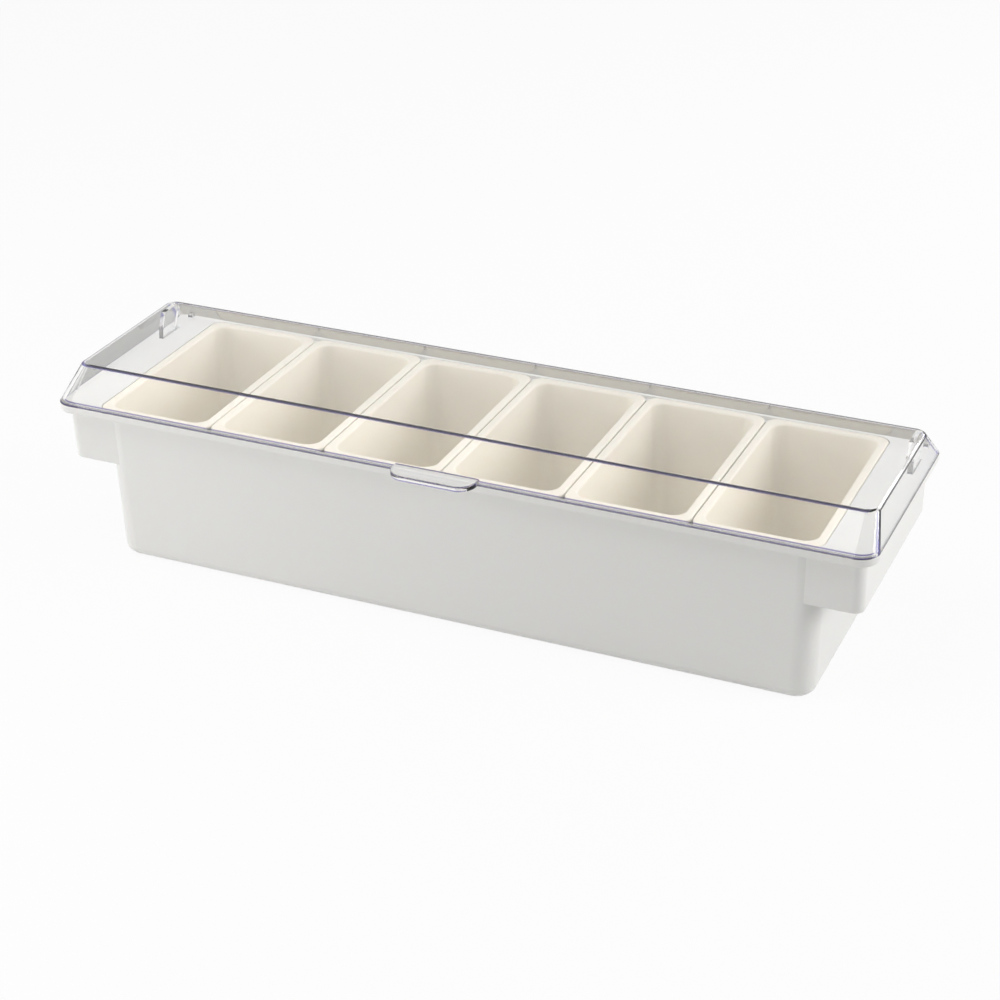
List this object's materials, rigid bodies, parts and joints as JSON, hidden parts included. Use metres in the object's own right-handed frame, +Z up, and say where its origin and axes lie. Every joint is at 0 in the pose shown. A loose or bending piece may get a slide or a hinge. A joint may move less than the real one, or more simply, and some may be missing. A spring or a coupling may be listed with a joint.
{
  "type": "condiment tray",
  "caption": "Long white counter tray with lift-out condiment inserts under one clear hinged lid with a thumb tab.",
  "frame": {"origin": "centre of the tray's flat underside", "axes": "+X along the tray to the right, +Y from the thumb tab to the hinge side, +Z up"},
  "size_m": [0.495, 0.1576, 0.1165],
  "materials": {
    "white_housing": "smooth moulded white plastic, soft gloss",
    "ivory_insert": "satin ivory plastic",
    "clear_lid": "clear polished plastic with violet edges",
    "pin_steel": "drawn stainless wire"
  },
  "bodies": {
    "tray": {"tray": "white_housing", "insert_1": "ivory_insert", "insert_2": "ivory_insert", "insert_3": "ivory_insert", "insert_4": "ivory_insert", "insert_5": "ivory_insert", "insert_6": "ivory_insert", "hinge_pin_left": "pin_steel", "hinge_pin_right": "pin_steel"},
    "lid": {"lid": "clear_lid"}
  },
  "joints": [
    {"name": "lid_hinge", "type": "hinge", "parent": "tray", "child": "lid", "pos_m": [0, 0.07025, 0.0955], "axis": [-1, 0, 0], "range_deg": [0, 105]}
  ]
}
